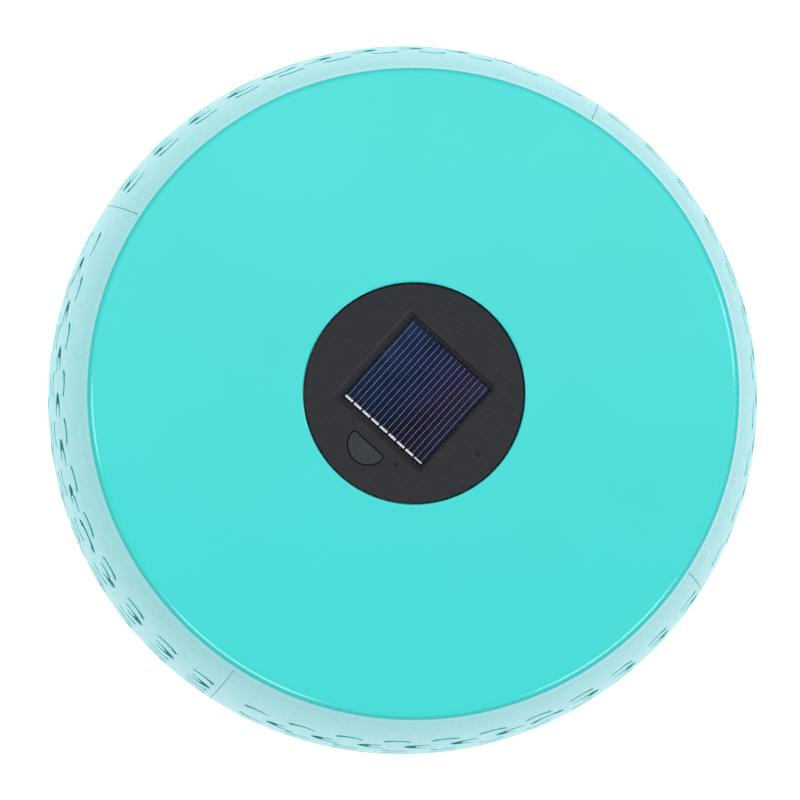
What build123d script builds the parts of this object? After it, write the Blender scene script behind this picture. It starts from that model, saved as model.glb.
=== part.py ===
"""Solar garden stool: a pierced, barrel-shaped sheet-steel drum with a drop-in solar lamp in its seat.

Millimetres. +Z is up, and the origin is on the ground, on the drum's axis.
"""

import os
from math import asin, cos, degrees, radians, sin, sqrt

from build123d import *

# Stool
HEIGHT = 450.0
BELLY_R = 170.0
RIM_R = 140.7
SHEET = 0.8

SKIRT_DROP = 8.0
RIM_FILLET = 3.7
HOLE_EDGE_FILLET = 0.9

PANELS = 4
FIRST_SEAM = 57.0
SEAM_GAP = 0.2
LAP_BEFORE_SEAM = 2.4
LAP_AFTER_SEAM = 8.0
TOP_HOOP_HEIGHT = 18.0
TOP_HOOP_THICKNESS = 2.4
RIB_THICKNESS = 3.0
RIB_HEIGHT = 14.0
RIB_END_R = 135.0
SOCKET_LAP = 5.0
LEDGE_DROP = 2.0
LEDGE_HOLE_GAP = 0.8

FOOT_HEIGHT = 4.0
FOOT_SPAN = 14.0
FOOT_WIDTH = 10.0
FOOT_PEG_R = 3.0
FOOT_PEG_HEIGHT = 8.0
FOOT_PEG_SHIFT = 1.5
FOOT_CHAMFER = 1.0
PEG_HOLE_SPARE = 0.5
BASE_HOOP_TOP = 16.0
BASE_HOOP_THICKNESS = 8.0

# Pierced pattern: bands of three rows of crescents, one band below the other
BANDS = 5
BAND_PITCH = 66.0
TOP_ROW_HEIGHT = 390.0
ROW_DROP = 21.0
SIDE_ROW_EXTRA_DROP = 9.0
ROW_SAG = 15.0
MOTIFS = 11
MOTIF_PITCH = 8.03
PATTERN_SHIFTS = (0.1, 1.9, 2.0, 0.8)
SIDE_MIDDLE = 6.19
SIDE_PITCH = 0.95
SIDE_FIRST = -6
SIDE_GATHER = 0.08
ARCH_LEAN = 4.0
ARCH_CRESCENT = (12.5, 7.0, 4.2, 1.2)
SIDE_ROLL = 70.0
SIDE_ROLL_STEP = 8.0
SIDE_CRESCENT = (16.0, 11.0, 5.2, 3.0)
PUNCH = 5.0

# Lamp unit
LAMP_TURN = 48.0
LAMP_R = 47.5
LAMP_GAP = 0.55
LAMP_SINK = 0.6
COVER_HEIGHT = 16.2
COVER_PLATE = 2.4
COVER_WALL = 1.7
COVER_CHAMFER = 0.5
REBATE_DEPTH = 4.8
RECESS_SIDE = 50.5
RECESS_CENTRE = (0.65, 0.5)
RECESS_DEPTH = 2.4
CELL_SIDE = 45.0
CELL_CENTRE = (1.1, -0.6)
CELL_GAP = 0.3
CELL_BOARD = 1.0
CELL_WINDOW = 0.65
TAB_COUNT = 9
TAB_SIZE = (1.2, 4.4)
TAB_THICKNESS = 0.15
TAB_MARGIN = 0.4
TRAY_FLOOR = 1.0
TRAY_SIDE = 49.0
LEAD_R = 0.5
LEAD_HOLE_GAP = 0.3
LEAD_SPOTS = [(-10.0, 6.0), (-10.0, -6.0)]
MARK_SIDE = 2.4
MARK_DEPTH = 0.3
MARK_SPOT = (-1.1, -38.2)

BUTTON_FLAT = -29.2
BUTTON_LENGTH = 17.5
BUTTON_DEPTH = 9.4
BUTTON_CORNER = 1.8
BUTTON_GAP = 0.35
BUTTON_PROUD = 0.3
BUTTON_FILLET = 0.5
BUTTON_FLANGE = 1.2
BUTTON_PLAY = 0.1
BUTTON_STEM_R = 2.0
BUTTON_TRAVEL = 0.8
SWITCH_SPOT = (-33.5, 0.0)
SWITCH_SIDE = 6.0
SWITCH_HEIGHT = 3.5
PLUNGER_R = 1.7
PLUNGER_PROUD = 1.5
PLUNGER_LENGTH = 3.1
PLUNGER_CLEARANCE = 0.08
PLUNGER_SPARE = 0.2

BOARD_X = (-39.0, 26.0)
BOARD_WIDTH = 28.0
BOARD_THICKNESS = 1.6
BOARD_RISE = 1.0
BOARD_SCREWS = [(2.0, 10.0), (-22.0, -10.0)]
BOARD_SCREW_R = 1.0
BOARD_SCREW_LENGTH = 3.0
BOARD_SCREW_HEAD = (1.9, 1.4)
BOARD_BOSS_R = 2.4
CHIP_SPOT = (-20.0, 6.0)
CHIP_SIZE = (6.0, 5.0, 1.6)

HOUSING_R = 43.8
HOUSING_WALL = 1.8
HOUSING_FLOOR = 2.0
HOUSING_DEPTH = 25.0
HOUSING_FLANGE_R = 45.6
HOUSING_FLANGE = 2.0
SEAL_THICKNESS = 1.0
SEAL_MARGIN = 0.2
PILLAR_R = 4.2
PILLAR_RING = 38.2
PILLAR_TURNS = [0.0, 136.0, -136.0]
PILLAR_SHELF = 11.0
BOSS_R = 3.4
BOSS_BORE = 7.0
SCREW_R = 1.5
SCREW_HEAD_R = 2.8
SCREW_HEAD = 2.3
SCREW_SOCKET = (1.2, 1.3)
SCREW_LENGTH = 16.0
SCREW_HEAD_GAP = 0.3
SCREW_GAP = 0.2
HOUSING_FILLET = 1.5

LED_SPOT = (-8.0, 0.0)
LED_R = 2.5
LED_LENGTH = 8.5
LED_RIM = (2.9, 1.0)
LED_DROP = 5.0
LED_LEG = 0.5
LED_LEG_SPREAD = 1.27
LENS_R = 10.3
LENS_GAP = 0.1
LENS_FLANGE_R = 12.0
LENS_FLANGE = 1.2
LENS_PROUD = 4.0
LENS_FILLET = 3.5

BATTERY_X = 22.0
BATTERY_R = 7.25
BATTERY_LENGTH = 50.5
BATTERY_FILLET = 0.6
BATTERY_NUB = 1.0
BATTERY_NUB_R = 2.75
BATTERY_LIFT = 0.5
CONTACT_WIDTH = 6.0
CONTACT_SHEET = 0.4
CONTACT_BEND = 0.8
CONTACT_SPRING = (2.4, 6.0)
CONTACT_SHELF_DROP = 4.0
CONTACT_RISER = 10.0
CONTACT_GAP = 0.1
DOOR_HALF_WIDTH = 9.4
DOOR_HALF_LENGTH = 28.2
DOOR_THICKNESS = 1.6
DOOR_CLEARANCE = 0.2
DOOR_OPENING = (16.0, 55.0)
GRIP_RIDGES = 4
GRIP_PITCH = 2.4
GRIP_SIZE = (11.0, 1.0)
GRIP_HEIGHT = 0.7
GRIP_INSET = 6.0
RAIL_LENGTH = 52.0
RAIL_WEB = 1.2
RAIL_DROP = 3.0
RAIL_LIP = 1.0
STOP_THICKNESS = 1.2

# Levels worked out from the sizes above
DRUM_SWELL = BELLY_R - RIM_R
DRUM_ARC_R = ((HEIGHT / 2) ** 2 + DRUM_SWELL**2) / (2 * DRUM_SWELL)
PANEL_TOP = HEIGHT - SKIRT_DROP
LAMP_HOLE_R = LAMP_R + LAMP_GAP
LAMP_TOP = HEIGHT - LAMP_SINK
COVER_FOOT = LAMP_TOP - COVER_HEIGHT
PLATE_UNDER = LAMP_TOP - COVER_PLATE
REBATE_TOP = COVER_FOOT + REBATE_DEPTH
RECESS_FLOOR = LAMP_TOP - RECESS_DEPTH
CELL_UNDER = RECESS_FLOOR - CELL_WINDOW - TAB_THICKNESS - CELL_BOARD
CELL_TOP = CELL_UNDER + CELL_BOARD
TRAY_UNDER = CELL_UNDER - TRAY_FLOOR
FLANGE_TOP = REBATE_TOP - SEAL_THICKNESS
HOUSING_UNDER = FLANGE_TOP - HOUSING_DEPTH
FLOOR_TOP = HOUSING_UNDER + HOUSING_FLOOR
BOARD_UNDER = FLANGE_TOP + BOARD_RISE
BOARD_TOP = BOARD_UNDER + BOARD_THICKNESS
SWITCH_TOP = BOARD_TOP + SWITCH_HEIGHT
PLUNGER_TOP = SWITCH_TOP + PLUNGER_PROUD
BUTTON_FLANGE_TOP = PLATE_UNDER - BUTTON_PLAY
BUTTON_UNDER = BUTTON_FLANGE_TOP - BUTTON_FLANGE
LEDGE_TOP = COVER_FOOT - LEDGE_DROP
HEAD_TOP = FLOOR_TOP + PILLAR_SHELF
HEAD_UNDER = HEAD_TOP - SCREW_HEAD
LED_TOP = BOARD_UNDER - LED_DROP
DOOR_TOP = HOUSING_UNDER - DOOR_CLEARANCE
BATTERY_HEIGHT = DOOR_TOP + BATTERY_LIFT + BATTERY_R

os.makedirs("parts", exist_ok=True)


def save(part, label):
    """Name a finished piece and write it."""
    part.label = label
    export_step(part, f"parts/{label}.step")


def drum_radius(height, depth=0.0):
    """Radius of the drum's wall at a height, at a depth below its outer surface."""
    return BELLY_R - DRUM_ARC_R + sqrt((DRUM_ARC_R - depth) ** 2 - (height - HEIGHT / 2) ** 2)


def drum_band(plane, bottom, top, outer_depth, inner_depth):
    """Section of a band that follows the drum's curve."""
    heights = (bottom, (bottom + top) / 2, top)
    with BuildSketch(plane) as section:
        with BuildLine():
            outer = ThreePointArc(*[(drum_radius(z, outer_depth), z) for z in heights])
            inner = ThreePointArc(*[(drum_radius(z, inner_depth), z) for z in heights])
            Line(outer @ 0, inner @ 0)
            Line(outer @ 1, inner @ 1)
        make_face()
    return section.sketch


def radial_plane(turn):
    """Upright plane through the axis, with its x pointing outwards at a turn in degrees."""
    angle = radians(turn)
    return Plane(origin=(0, 0, 0), x_dir=(cos(angle), sin(angle), 0), z_dir=(sin(angle), -cos(angle), 0))


def seam_turn(number):
    """Turn of a seam, in degrees."""
    return FIRST_SEAM + number * 360 / PANELS


# Stool: seat


with BuildPart() as seat_top:
    with BuildSketch(Plane.XZ):
        with BuildLine():
            FilletPolyline(
                (LAMP_HOLE_R, PANEL_TOP),
                (LAMP_HOLE_R, HEIGHT),
                (RIM_R, HEIGHT),
                (drum_radius(PANEL_TOP - SHEET), PANEL_TOP - SHEET),
                radius=[HOLE_EDGE_FILLET, RIM_FILLET],
            )
            offset(amount=SHEET, side=Side.RIGHT)
        make_face()
    revolve(axis=Axis.Z)
    split(bisect_by=Plane.XY.offset(PANEL_TOP), keep=Keep.TOP)
save(seat_top.part, "seat_top")

with BuildPart() as top_hoop:
    hoop_depth = SHEET + TOP_HOOP_THICKNESS
    revolve(drum_band(Plane.XZ, PANEL_TOP - TOP_HOOP_HEIGHT, PANEL_TOP, SHEET, hoop_depth), Axis.Z)
save(top_hoop.part, "top_hoop")

SOCKET_R = LAMP_HOLE_R + SHEET
SOCKET_OUTER_R = SOCKET_R + SHEET
LEDGE_HOLE_R = HOUSING_R + LEDGE_HOLE_GAP
with BuildPart() as lamp_socket:
    with BuildSketch(Plane.XZ):
        with BuildLine():
            Polyline(
                (LEDGE_HOLE_R, LEDGE_TOP),
                (SOCKET_R, LEDGE_TOP),
                (SOCKET_R, HEIGHT - SOCKET_LAP),
                (SOCKET_OUTER_R, HEIGHT - SOCKET_LAP),
                (SOCKET_OUTER_R, LEDGE_TOP - SHEET),
                (LEDGE_HOLE_R, LEDGE_TOP - SHEET),
                close=True,
            )
        make_face()
    revolve(axis=Axis.Z)
save(lamp_socket.part, "lamp_socket")

for number in range(PANELS):
    with BuildPart() as seat_rib:
        with BuildSketch(radial_plane(seam_turn(number + 0.5))):
            with Locations(((SOCKET_OUTER_R + RIB_END_R) / 2, HEIGHT - SHEET - RIB_HEIGHT / 2)):
                Rectangle(RIB_END_R - SOCKET_OUTER_R, RIB_HEIGHT)
        extrude(amount=RIB_THICKNESS / 2, both=True)
    save(seat_rib.part, f"seat_rib_{number + 1}")


# Stool: pierced side panels


def motif_plane(index, height, roll, shift):
    """Plane on the sheet for one crescent, whose rounded back points up before it is rolled."""
    turn = radians((index - (MOTIFS - 1) / 2) * MOTIF_PITCH + shift)
    tilt = asin((height - HEIGHT / 2) / DRUM_ARC_R)
    radius = drum_radius(height)
    across = Vector(-sin(turn), cos(turn), 0)
    out = Vector(cos(turn) * cos(tilt), sin(turn) * cos(tilt), sin(tilt))
    origin = (radius * cos(turn), radius * sin(turn), height)
    return Plane(origin=origin, x_dir=across.rotate(Axis((0, 0, 0), out), roll), z_dir=out)


def row_sag(index):
    """How far a row hangs below its middle."""
    return ROW_SAG * ((index - MOTIFS / 2) / (MOTIFS / 2)) ** 2


def arch_planes(height, roll, shift):
    """Planes of a row of crescents that point up or down, leaning outwards at its ends."""
    lean = ARCH_LEAN if roll == 0 else -ARCH_LEAN
    middle = (MOTIFS - 1) / 2
    return [motif_plane(i, height - row_sag(i), roll - lean * (i - middle), shift) for i in range(MOTIFS)]


def side_planes(height, shift):
    """Planes of a row of crescents that turn from pointing left to pointing right."""
    planes = []
    for step in range(SIDE_FIRST, SIDE_FIRST + MOTIFS):
        index = SIDE_MIDDLE + SIDE_PITCH * step + SIDE_GATHER * (step < 0)
        drop = row_sag(index) + SIDE_ROW_EXTRA_DROP * (step / SIDE_FIRST) ** 2
        roll = 0
        if step:
            roll = -(SIDE_ROLL + SIDE_ROLL_STEP * (abs(step) - 1)) * step / abs(step)
        planes.append(motif_plane(index, height - drop, roll, shift))
    return planes


def pattern_planes(shift):
    """Planes of the arch crescents and of the side crescents on a panel, all shifted round the drum."""
    arches = []
    sides = []
    for band in range(BANDS):
        top = TOP_ROW_HEIGHT - band * BAND_PITCH
        arches += arch_planes(top, 0, shift)
        sides += side_planes(top - ROW_DROP, shift)
        arches += arch_planes(top - 2 * ROW_DROP - SIDE_ROW_EXTRA_DROP / 2, 180, shift)
    return arches, sides


def crescents(planes, width, height, thickness, tip):
    """Crescents with blunt tips on many planes, each with its rounded back up."""
    half = width / 2
    with BuildSketch(*planes) as outlines:
        with BuildLine():
            back = ThreePointArc((-half, -height / 2), (0, height / 2), (half, -height / 2))
            hollow = ThreePointArc((tip - half, -height / 2), (0, height / 2 - thickness),
                                   (half - tip, -height / 2))
            Line(back @ 0, hollow @ 0)
            Line(back @ 1, hollow @ 1)
        make_face()
    return outlines.sketch


PANEL_HALF_TURN = 180 / PANELS - degrees(SEAM_GAP / 2 / BELLY_R)
for number in range(PANELS):
    arches, sides = pattern_planes(PATTERN_SHIFTS[number])
    with BuildPart() as side_panel:
        section = drum_band(radial_plane(-PANEL_HALF_TURN), BASE_HOOP_TOP, PANEL_TOP, 0, SHEET)
        revolve(section, Axis.Z, revolution_arc=2 * PANEL_HALF_TURN)
        holes = crescents(arches, *ARCH_CRESCENT).faces() + crescents(sides, *SIDE_CRESCENT).faces()
        extrude(holes, amount=PUNCH, both=True, mode=Mode.SUBTRACT)
    save(side_panel.part.rotate(Axis.Z, seam_turn(number + 0.5)), f"side_panel_{number + 1}")

LAP_START = degrees(LAP_BEFORE_SEAM / BELLY_R)
LAP_TURN = degrees((LAP_BEFORE_SEAM + LAP_AFTER_SEAM) / BELLY_R)
for number in range(PANELS):
    with BuildPart() as seam_strip:
        strip_plane = radial_plane(seam_turn(number) - LAP_START)
        section = drum_band(strip_plane, BASE_HOOP_TOP, PANEL_TOP - TOP_HOOP_HEIGHT, SHEET, 2 * SHEET)
        revolve(section, Axis.Z, revolution_arc=LAP_TURN)
    save(seam_strip.part, f"seam_strip_{number + 1}")


# Stool: base


FOOT_OUTER_R = drum_radius(FOOT_HEIGHT) - FOOT_CHAMFER / 2
PEG_RING = FOOT_OUTER_R - FOOT_WIDTH / 2 + FOOT_PEG_SHIFT
with BuildPart() as base_hoop:
    revolve(drum_band(Plane.XZ, FOOT_HEIGHT, BASE_HOOP_TOP, 0, BASE_HOOP_THICKNESS), Axis.Z)
    with BuildSketch(Plane.XY.offset(FOOT_HEIGHT)):
        with PolarLocations(PEG_RING, PANELS, start_angle=seam_turn(0.5)):
            Circle(FOOT_PEG_R)
    extrude(amount=FOOT_PEG_HEIGHT + PEG_HOLE_SPARE, mode=Mode.SUBTRACT)
save(base_hoop.part, "base_hoop")

for number in range(PANELS):
    middle = seam_turn(number + 0.5)
    with BuildPart() as foot:
        with BuildSketch(radial_plane(middle - FOOT_SPAN / 2)):
            with Locations((FOOT_OUTER_R - FOOT_WIDTH / 2, FOOT_HEIGHT / 2)):
                Rectangle(FOOT_WIDTH, FOOT_HEIGHT)
        revolve(axis=Axis.Z, revolution_arc=FOOT_SPAN)
        chamfer(foot.edges().group_by(Axis.Z)[0], FOOT_CHAMFER)
        with BuildSketch(Plane.XY.offset(FOOT_HEIGHT)):
            with PolarLocations(PEG_RING, 1, start_angle=middle):
                Circle(FOOT_PEG_R)
        extrude(amount=FOOT_PEG_HEIGHT)
    save(foot.part, f"foot_{number + 1}")


# Lamp unit. Its local x runs from the button across the cell.


def lamp_plane(height, spot=(0, 0)):
    """Level plane in the lamp's own directions, with its origin at a spot on the lamp."""
    angle = radians(LAMP_TURN)
    x_dir = Vector(cos(angle), sin(angle), 0)
    y_dir = Vector(-sin(angle), cos(angle), 0)
    origin = x_dir * spot[0] + y_dir * spot[1] + Vector(0, 0, height)
    return Plane(origin=origin, x_dir=x_dir, z_dir=(0, 0, 1))


def pillar_spots():
    """Where the housing's three screws are."""
    return [(PILLAR_RING * cos(radians(t)), PILLAR_RING * sin(radians(t))) for t in PILLAR_TURNS]


def button_outline(height, grow=0.0):
    """Outline of the half-round button, with its flat side facing the cell."""
    half = BUTTON_LENGTH / 2
    with BuildSketch(lamp_plane(height)) as outline:
        with BuildLine():
            Line((BUTTON_FLAT, -half), (BUTTON_FLAT, half))
            ThreePointArc((BUTTON_FLAT, half), (BUTTON_FLAT - BUTTON_DEPTH, 0), (BUTTON_FLAT, -half))
        make_face()
        fillet(outline.vertices(), BUTTON_CORNER)
        if grow:
            offset(amount=grow)
    return outline.sketch


def disc(bottom, top, radius, spot=(0, 0), mode=Mode.ADD):
    """Add or cut an upright cylinder between two heights."""
    with BuildSketch(lamp_plane(bottom, spot)) as outline:
        Circle(radius)
    extrude(outline.sketch, amount=top - bottom, mode=mode)


def block(bottom, top, size, spot=(0, 0), mode=Mode.ADD):
    """Add or cut a box between two heights, in the lamp's directions."""
    with BuildSketch(lamp_plane(bottom, spot)) as outline:
        Rectangle(*size)
    extrude(outline.sketch, amount=top - bottom, mode=mode)


CELL_SIZE = (CELL_SIDE, CELL_SIDE)
POCKET_SIZE = (CELL_SIDE + 2 * CELL_GAP, CELL_SIDE + 2 * CELL_GAP)
with BuildPart() as lamp_cover:
    disc(COVER_FOOT, LAMP_TOP, LAMP_R)
    chamfer(lamp_cover.edges().sort_by(Axis.Z)[-1], COVER_CHAMFER)
    disc(COVER_FOOT, REBATE_TOP, LAMP_R - COVER_WALL, mode=Mode.SUBTRACT)
    disc(REBATE_TOP, PLATE_UNDER, LAMP_R - 2 * COVER_WALL, mode=Mode.SUBTRACT)
    block(TRAY_UNDER, PLATE_UNDER, (TRAY_SIDE, TRAY_SIDE), CELL_CENTRE)
    for spot in pillar_spots():
        disc(FLANGE_TOP, PLATE_UNDER, BOSS_R, spot)
        disc(FLANGE_TOP, FLANGE_TOP + BOSS_BORE, SCREW_R, spot, Mode.SUBTRACT)
    for spot in BOARD_SCREWS:
        disc(BOARD_TOP, TRAY_UNDER, BOARD_BOSS_R, spot)
        disc(BOARD_TOP, BOARD_TOP + BOARD_SCREW_LENGTH, BOARD_SCREW_R, spot, Mode.SUBTRACT)
    with BuildSketch(lamp_plane(RECESS_FLOOR)):
        with Locations(CELL_CENTRE):
            Rectangle(*POCKET_SIZE)
    with BuildSketch(lamp_plane(LAMP_TOP)):
        with Locations(RECESS_CENTRE):
            Rectangle(RECESS_SIDE, RECESS_SIDE)
    loft(mode=Mode.SUBTRACT)
    block(CELL_UNDER, RECESS_FLOOR, POCKET_SIZE, CELL_CENTRE, Mode.SUBTRACT)
    for spot in LEAD_SPOTS:
        disc(TRAY_UNDER, CELL_UNDER, LEAD_R + LEAD_HOLE_GAP, spot, Mode.SUBTRACT)
    extrude(button_outline(PLATE_UNDER, BUTTON_GAP), amount=COVER_PLATE, mode=Mode.SUBTRACT)
    with BuildSketch(lamp_plane(LAMP_TOP)):
        with Locations(MARK_SPOT):
            Triangle(a=MARK_SIDE, b=MARK_SIDE, c=MARK_SIDE)
    extrude(amount=-MARK_DEPTH, mode=Mode.SUBTRACT)
save(lamp_cover.part, "lamp_cover")

with BuildPart() as lamp_gasket:
    disc(LEDGE_TOP, COVER_FOOT, LAMP_R - SEAL_MARGIN)
    disc(LEDGE_TOP, COVER_FOOT, LEDGE_HOLE_R, mode=Mode.SUBTRACT)
save(lamp_gasket.part, "lamp_gasket")

with BuildPart() as solar_cell:
    block(CELL_UNDER, CELL_TOP, CELL_SIZE, CELL_CENTRE)
save(solar_cell.part, "solar_cell")

TAB_PITCH = CELL_SIDE / TAB_COUNT
with BuildPart() as cell_tabs:
    with BuildSketch(lamp_plane(CELL_TOP, CELL_CENTRE)):
        with Locations(((TAB_SIZE[0] - CELL_SIDE) / 2 + TAB_MARGIN, 0)):
            with GridLocations(0, TAB_PITCH, 1, TAB_COUNT):
                Rectangle(*TAB_SIZE)
    extrude(amount=TAB_THICKNESS)
save(cell_tabs.part, "cell_tabs")

with BuildPart() as cell_window:
    block(CELL_TOP + TAB_THICKNESS, RECESS_FLOOR, CELL_SIZE, CELL_CENTRE)
save(cell_window.part, "cell_window")

with BuildPart() as cell_leads:
    for spot in LEAD_SPOTS:
        disc(BOARD_TOP, CELL_UNDER, LEAD_R, spot)
save(cell_leads.part, "cell_leads")

with BuildPart() as power_button:
    extrude(button_outline(BUTTON_UNDER), amount=LAMP_TOP + BUTTON_PROUD - BUTTON_UNDER)
    fillet(power_button.edges().group_by(Axis.Z)[-1], BUTTON_FILLET)
    extrude(button_outline(BUTTON_UNDER, BUTTON_FLANGE), amount=BUTTON_FLANGE)
    disc(PLUNGER_TOP, BUTTON_UNDER, BUTTON_STEM_R, SWITCH_SPOT)
save(power_button.part, "power_button")

with BuildPart() as switch_body:
    block(BOARD_TOP, SWITCH_TOP, (SWITCH_SIDE, SWITCH_SIDE), SWITCH_SPOT)
    bore_bottom = PLUNGER_TOP - PLUNGER_LENGTH - BUTTON_TRAVEL - PLUNGER_SPARE
    disc(bore_bottom, SWITCH_TOP, PLUNGER_R + PLUNGER_CLEARANCE, SWITCH_SPOT, Mode.SUBTRACT)
save(switch_body.part, "switch_body")

with BuildPart() as switch_plunger:
    disc(PLUNGER_TOP - PLUNGER_LENGTH, PLUNGER_TOP, PLUNGER_R, SWITCH_SPOT)
save(switch_plunger.part, "switch_plunger")

with BuildPart() as circuit_board:
    middle = ((BOARD_X[0] + BOARD_X[1]) / 2, 0)
    block(BOARD_UNDER, BOARD_TOP, (BOARD_X[1] - BOARD_X[0], BOARD_WIDTH), middle)
    for spot in BOARD_SCREWS:
        disc(BOARD_UNDER, BOARD_TOP, BOARD_SCREW_R, spot, Mode.SUBTRACT)
save(circuit_board.part, "circuit_board")

with BuildPart() as charge_chip:
    block(BOARD_UNDER - CHIP_SIZE[2], BOARD_UNDER, CHIP_SIZE[:2], CHIP_SPOT)
save(charge_chip.part, "charge_chip")

with BuildPart() as board_screws:
    for spot in BOARD_SCREWS:
        disc(BOARD_UNDER - BOARD_SCREW_HEAD[1], BOARD_UNDER, BOARD_SCREW_HEAD[0], spot)
        disc(BOARD_UNDER, BOARD_TOP + BOARD_SCREW_LENGTH, BOARD_SCREW_R, spot)
save(board_screws.part, "board_screws")

with BuildPart() as led:
    disc(LED_TOP - LED_LENGTH, LED_TOP, LED_R, LED_SPOT)
    fillet(led.edges().sort_by(Axis.Z)[0], 0.95 * LED_R)
    disc(LED_TOP - LED_RIM[1], LED_TOP, LED_RIM[0], LED_SPOT)
    for side in (-LED_LEG_SPREAD, LED_LEG_SPREAD):
        leg_spot = (LED_SPOT[0], LED_SPOT[1] + side)
        block(LED_TOP - LED_LEG, BOARD_UNDER, (LED_LEG, LED_LEG), leg_spot)
save(led.part, "led")


# Lamp unit: housing, battery and door


DOOR_MIDDLE = (BATTERY_X, 0)
with BuildPart() as lamp_housing:
    disc(HOUSING_UNDER, FLANGE_TOP, HOUSING_R)
    fillet(lamp_housing.edges().sort_by(Axis.Z)[0], HOUSING_FILLET)
    disc(FLANGE_TOP - HOUSING_FLANGE, FLANGE_TOP, HOUSING_FLANGE_R)
    disc(FLOOR_TOP, FLANGE_TOP, HOUSING_R - HOUSING_WALL, mode=Mode.SUBTRACT)
    for spot in pillar_spots():
        disc(HOUSING_UNDER, FLANGE_TOP, PILLAR_R, spot)
        disc(HOUSING_UNDER, HEAD_TOP, SCREW_HEAD_R + SCREW_HEAD_GAP, spot, Mode.SUBTRACT)
        disc(HEAD_TOP, FLANGE_TOP, SCREW_R + SCREW_GAP, spot, Mode.SUBTRACT)
    disc(HOUSING_UNDER, FLOOR_TOP, LENS_R + LENS_GAP, LED_SPOT, Mode.SUBTRACT)
    block(HOUSING_UNDER, FLOOR_TOP, DOOR_OPENING, DOOR_MIDDLE, Mode.SUBTRACT)
    rail_foot = HOUSING_UNDER - RAIL_DROP
    for side in (-1, 1):
        web = BATTERY_X + side * (DOOR_HALF_WIDTH + DOOR_CLEARANCE + RAIL_WEB / 2)
        lip = BATTERY_X + side * (DOOR_HALF_WIDTH + DOOR_CLEARANCE + RAIL_WEB / 2 - RAIL_LIP)
        block(rail_foot, HOUSING_UNDER, (RAIL_WEB, RAIL_LENGTH), (web, 0))
        block(rail_foot, rail_foot + RAIL_LIP, (RAIL_WEB, RAIL_LENGTH), (lip, 0))
    stop_spot = (BATTERY_X, -DOOR_HALF_LENGTH - DOOR_CLEARANCE - STOP_THICKNESS / 2)
    block(rail_foot, HOUSING_UNDER, (2 * DOOR_HALF_WIDTH, STOP_THICKNESS), stop_spot)
save(lamp_housing.part, "lamp_housing")

with BuildPart() as housing_seal:
    disc(FLANGE_TOP, REBATE_TOP, HOUSING_FLANGE_R)
    disc(FLANGE_TOP, REBATE_TOP, LAMP_R - 2 * COVER_WALL + SEAL_MARGIN, mode=Mode.SUBTRACT)
save(housing_seal.part, "housing_seal")

with BuildPart() as housing_screws:
    for spot in pillar_spots():
        disc(HEAD_UNDER, HEAD_TOP, SCREW_HEAD_R, spot)
        disc(HEAD_UNDER, HEAD_UNDER + SCREW_SOCKET[1], SCREW_SOCKET[0], spot, Mode.SUBTRACT)
        disc(HEAD_TOP, HEAD_TOP + SCREW_LENGTH, SCREW_R, spot)
save(housing_screws.part, "housing_screws")

with BuildPart() as led_lens:
    disc(HOUSING_UNDER - LENS_PROUD, FLOOR_TOP, LENS_R, LED_SPOT)
    fillet(led_lens.edges().sort_by(Axis.Z)[0], LENS_FILLET)
    disc(FLOOR_TOP, FLOOR_TOP + LENS_FLANGE, LENS_FLANGE_R, LED_SPOT)
save(led_lens.part, "led_lens")


def battery_end_plane(along):
    """Upright plane across the battery at a distance along it, facing its positive end."""
    level = lamp_plane(BATTERY_HEIGHT, (BATTERY_X, along))
    return Plane(origin=level.origin, x_dir=level.x_dir, z_dir=level.y_dir)


with BuildPart() as battery:
    with BuildSketch(battery_end_plane(-BATTERY_LENGTH / 2)):
        Circle(BATTERY_R)
    extrude(amount=BATTERY_LENGTH - BATTERY_NUB)
    fillet(battery.edges().filter_by(GeomType.CIRCLE), BATTERY_FILLET)
    with BuildSketch(battery_end_plane(BATTERY_LENGTH / 2 - BATTERY_NUB)):
        Circle(BATTERY_NUB_R)
    extrude(amount=BATTERY_NUB)
save(battery.part, "battery")


def contact_plane():
    """Upright plane along the battery through its middle, with its y up."""
    level = lamp_plane(0, (BATTERY_X, 0))
    return Plane(origin=level.origin, x_dir=level.y_dir, z_dir=level.x_dir)


CONTACT_END = BATTERY_LENGTH / 2
CONTACT_FOOT = FLOOR_TOP + BATTERY_LIFT
CONTACT_SHELF = BOARD_UNDER - CONTACT_SHELF_DROP
SPRING_END = CONTACT_END + CONTACT_SPRING[0]
with BuildPart() as contact_positive:
    with BuildSketch(contact_plane()):
        with BuildLine():
            FilletPolyline(
                (CONTACT_END, CONTACT_FOOT),
                (CONTACT_END, CONTACT_SHELF),
                (CONTACT_RISER, CONTACT_SHELF),
                (CONTACT_RISER, BOARD_UNDER),
                radius=CONTACT_BEND,
            )
            offset(amount=CONTACT_SHEET, side=Side.RIGHT)
        make_face()
    extrude(amount=CONTACT_WIDTH / 2, both=True)
save(contact_positive.part, "contact_positive")

with BuildPart() as contact_negative:
    with BuildSketch(contact_plane()):
        with BuildLine():
            FilletPolyline(
                (-SPRING_END, CONTACT_FOOT),
                (-CONTACT_END - CONTACT_GAP, BATTERY_HEIGHT),
                (-SPRING_END, BATTERY_HEIGHT + CONTACT_SPRING[1]),
                (-SPRING_END, CONTACT_SHELF),
                (-CONTACT_RISER, CONTACT_SHELF),
                (-CONTACT_RISER, BOARD_UNDER),
                radius=CONTACT_BEND,
            )
            offset(amount=CONTACT_SHEET, side=Side.LEFT)
        make_face()
    extrude(amount=CONTACT_WIDTH / 2, both=True)
save(contact_negative.part, "contact_negative")

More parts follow.
